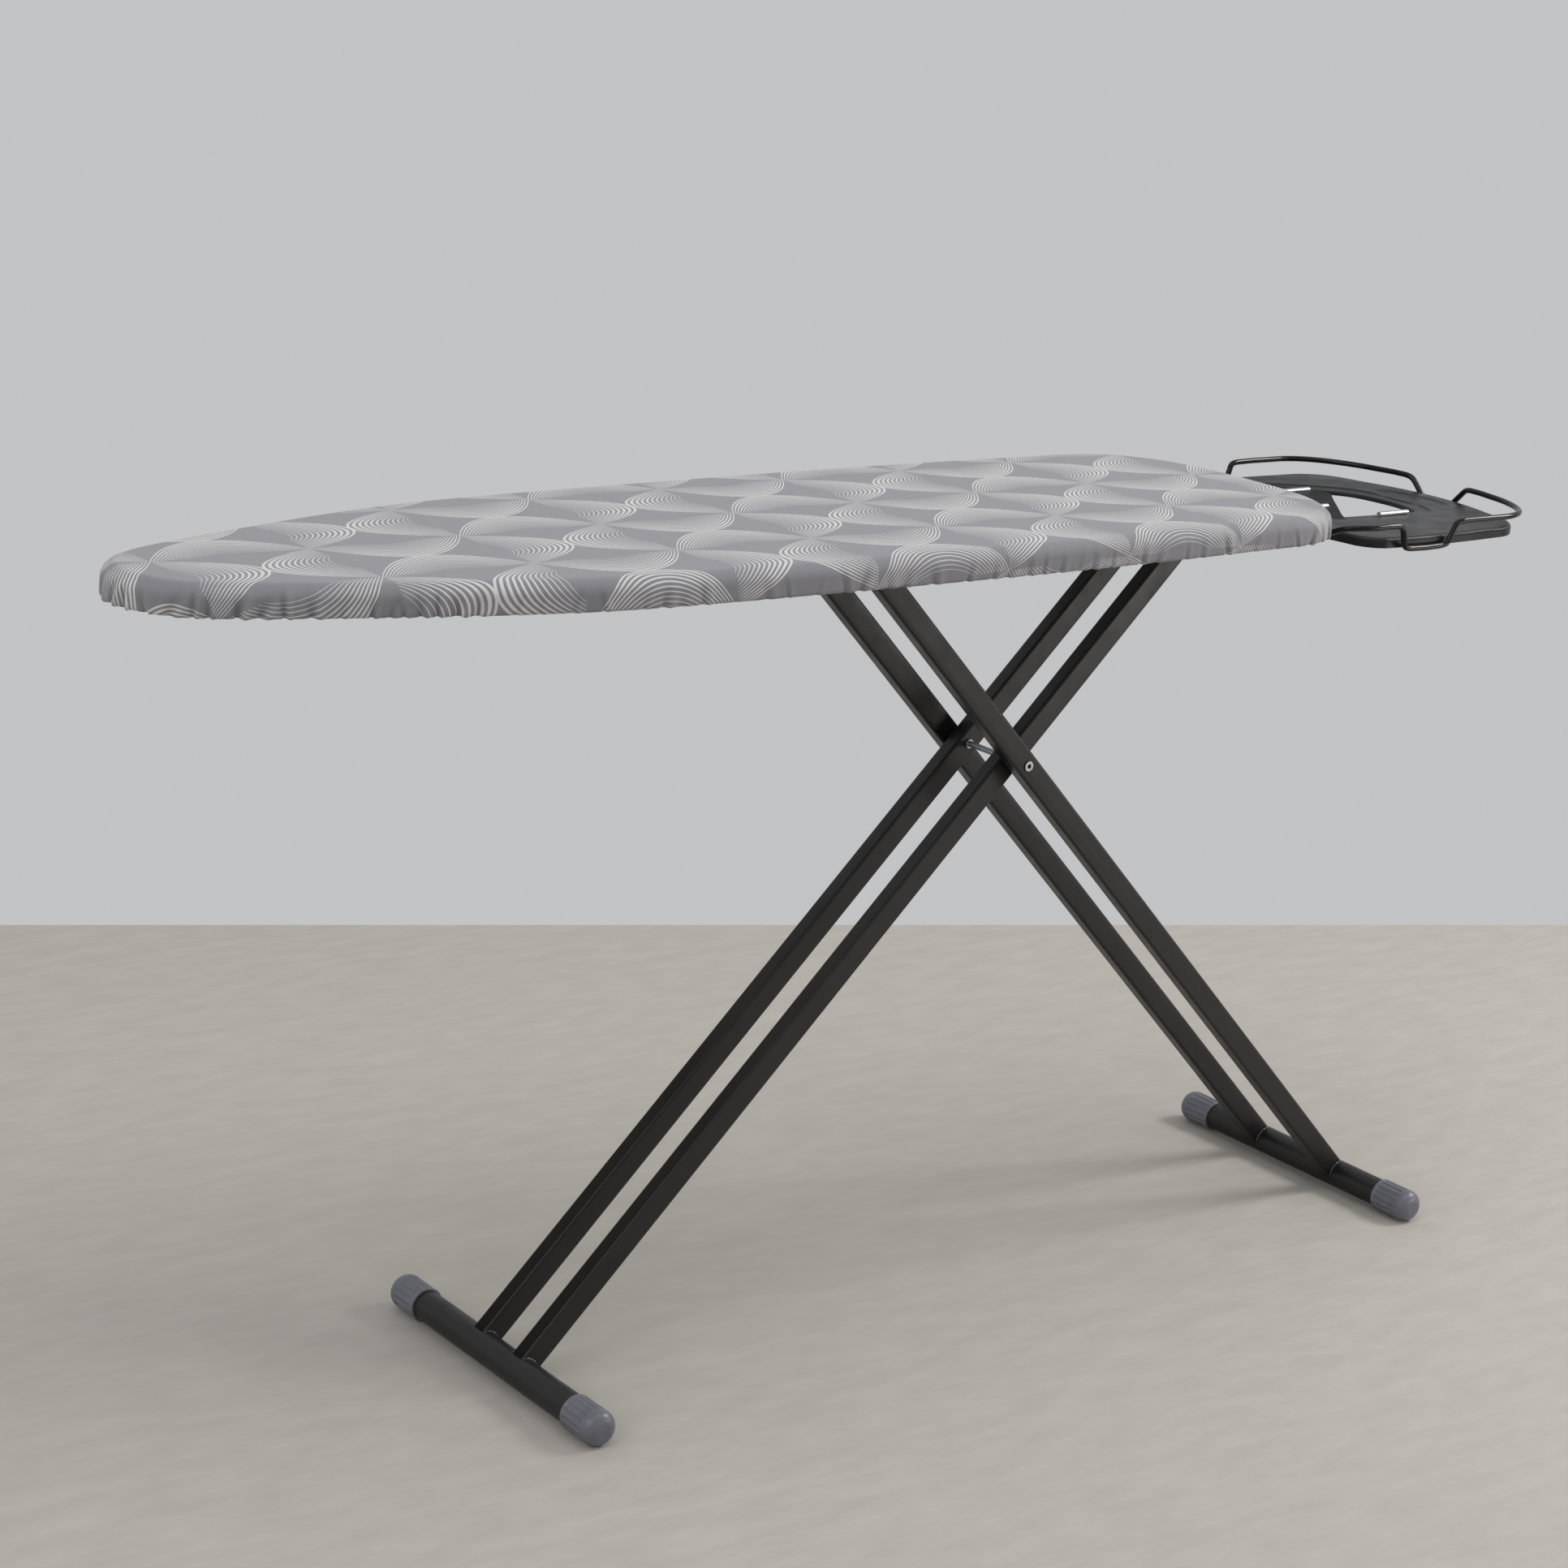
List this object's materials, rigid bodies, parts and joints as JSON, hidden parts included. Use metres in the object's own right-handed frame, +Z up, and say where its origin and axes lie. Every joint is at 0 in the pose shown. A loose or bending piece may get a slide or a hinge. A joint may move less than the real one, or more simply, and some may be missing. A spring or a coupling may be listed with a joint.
{
  "type": "ironing board",
  "caption": "Free-standing folding ironing board on crossing tubular legs, with a padded cloth-covered top, a pressed iron rest and a wire rail",
  "frame": {"origin": "on the floor, under the middle of the whole object's footprint", "axes": "+X along the board from its nose to the iron rest, +Y across the board, +Z up from the floor"},
  "size_m": [1.5391, 0.368, 0.7835],
  "materials": {
    "cover_cloth": "printed cotton with a soft sheen",
    "elastic": "braided cord",
    "felt": "needled felt",
    "deck_steel": "satin",
    "black_steel": "satin",
    "pan_enamel": "satin powder coat",
    "rail_gloss": "gloss",
    "leg_paint": "fine satin powder coat",
    "zinc": "bright zinc plate",
    "dark_plastic": "matt",
    "cap_plastic": "satin moulded"
  },
  "bodies": {
    "board": {"cover": "cover_cloth", "hem_elastic": "elastic", "pad": "felt", "deck_panel": "deck_steel", "rim_frame": "black_steel", "cross_brace_nose": "black_steel", "cross_brace_middle": "black_steel", "cross_brace_heel": "black_steel", "height_rack_near": "black_steel", "height_rack_far": "black_steel", "pivot_bracket_near": "black_steel", "pivot_bracket_far": "black_steel", "pivot_rod": "zinc", "pivot_sleeve": "dark_plastic", "pivot_washers": "dark_plastic", "pivot_clips": "zinc", "lever_pin": "zinc", "lever_spring": "zinc", "rest_pan": "pan_enamel", "rest_bridge": "pan_enamel", "rest_arm_near": "black_steel", "rest_arm_far": "black_steel", "rest_rail": "rail_gloss", "heat_rests": "zinc", "rest_rivets": "pan_enamel"},
    "inner_frame": {"inner_leg_near": "leg_paint", "inner_leg_far": "leg_paint", "nose_foot_tube": "leg_paint", "nose_cap_near": "cap_plastic", "nose_cap_far": "cap_plastic", "scissor_axle": "zinc", "scissor_spacers": "dark_plastic", "axle_collars": "zinc", "inner_leg_plugs": "dark_plastic"},
    "outer_frame": {"outer_leg_near": "leg_paint", "outer_leg_far": "leg_paint", "heel_foot_tube": "leg_paint", "heel_cap_near": "cap_plastic", "heel_cap_far": "cap_plastic", "slide_rod": "zinc", "slide_clips": "zinc", "outer_leg_plugs": "dark_plastic"},
    "lever": {"release_lever": "black_steel", "lever_grip": "cap_plastic"}
  },
  "joints": [
    {"name": "inner_fold", "type": "hinge", "parent": "board", "child": "inner_frame", "pos_m": [0.37739, 0, 0.752], "axis": [0, 1, 0], "range_deg": [-6, 41.4]},
    {"name": "outer_fold", "type": "hinge", "parent": "inner_frame", "child": "outer_frame", "pos_m": [0.157, 0, 0.5358], "axis": [0, 1, 0], "range_deg": [-84, 12.4]},
    {"name": "release_tilt", "type": "hinge", "parent": "board", "child": "lever", "pos_m": [0.03624, -0.07, 0.75], "axis": [0, -1, 0], "range_deg": [0, 6], "stiffness_Nm_per_rad": 1, "springref_deg": -11.46}
  ],
  "couplings": [
    {"joint": "outer_fold", "follows": "inner_fold", "ratio": -2.0227}
  ]
}
